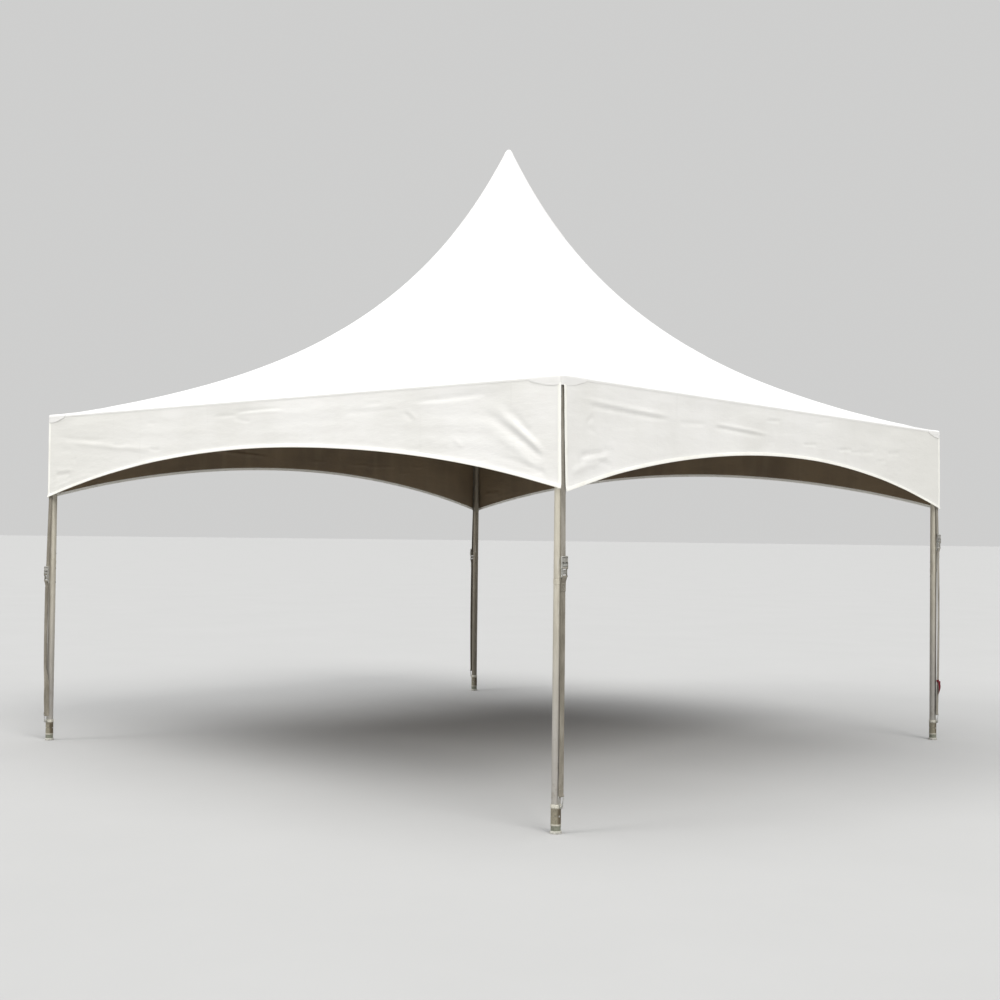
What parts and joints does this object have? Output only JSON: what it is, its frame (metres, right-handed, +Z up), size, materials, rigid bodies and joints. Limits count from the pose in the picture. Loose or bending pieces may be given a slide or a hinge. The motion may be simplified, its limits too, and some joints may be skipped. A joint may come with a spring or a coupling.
{
  "type": "marquee tent",
  "caption": "Open-sided square frame marquee with a high hollow-curved roof on a flying mast, arched hanging valances and strapped tube legs.",
  "frame": {"origin": "on the ground under the peak", "axes": "+Z up, +X towards the right side, -Y towards the front side"},
  "size_m": [4.6719, 4.6609, 4.33],
  "materials": {
    "roof_cloth": "white coated cloth, satin, with welded seams",
    "valance_cloth": "white coated cloth, satin, creased, with a turned hem",
    "frame_tube": "dull mill finish, warm grey",
    "cast_fitting": "sand-cast, matt",
    "foot_metal": "dull zinc with soil stains",
    "wire_rope": "twisted strands, dull",
    "webbing": "woven strap, faded grey-brown",
    "buckle_metal": "zinc plated, worn"
  },
  "bodies": {
    "root": {"roof_front": "roof_cloth", "roof_right": "roof_cloth", "roof_back": "roof_cloth", "roof_left": "roof_cloth", "valance_front": "valance_cloth", "valance_right": "valance_cloth", "valance_back": "valance_cloth", "valance_left": "valance_cloth", "eave_front": "frame_tube", "eave_right": "frame_tube", "eave_back": "frame_tube", "eave_left": "frame_tube", "leg_upper_front_right": "frame_tube", "leg_lower_front_right": "frame_tube", "foot_front_right": "foot_metal", "corner_front_right": "cast_fitting", "cable_front_right": "wire_rope", "strap_front_right": "webbing", "buckle_front_right": "buckle_metal", "leg_upper_back_right": "frame_tube", "leg_lower_back_right": "frame_tube", "foot_back_right": "foot_metal", "corner_back_right": "cast_fitting", "cable_back_right": "wire_rope", "strap_back_right": "webbing", "buckle_back_right": "buckle_metal", "leg_upper_back_left": "frame_tube", "leg_lower_back_left": "frame_tube", "foot_back_left": "foot_metal", "corner_back_left": "cast_fitting", "cable_back_left": "wire_rope", "strap_back_left": "webbing", "buckle_back_left": "buckle_metal", "leg_upper_front_left": "frame_tube", "leg_lower_front_left": "frame_tube", "foot_front_left": "foot_metal", "corner_front_left": "cast_fitting", "cable_front_left": "wire_rope", "strap_front_left": "webbing", "buckle_front_left": "buckle_metal", "mast": "frame_tube", "mast_hub": "cast_fitting", "mast_cap": "roof_cloth"}
  },
  "joints": []
}
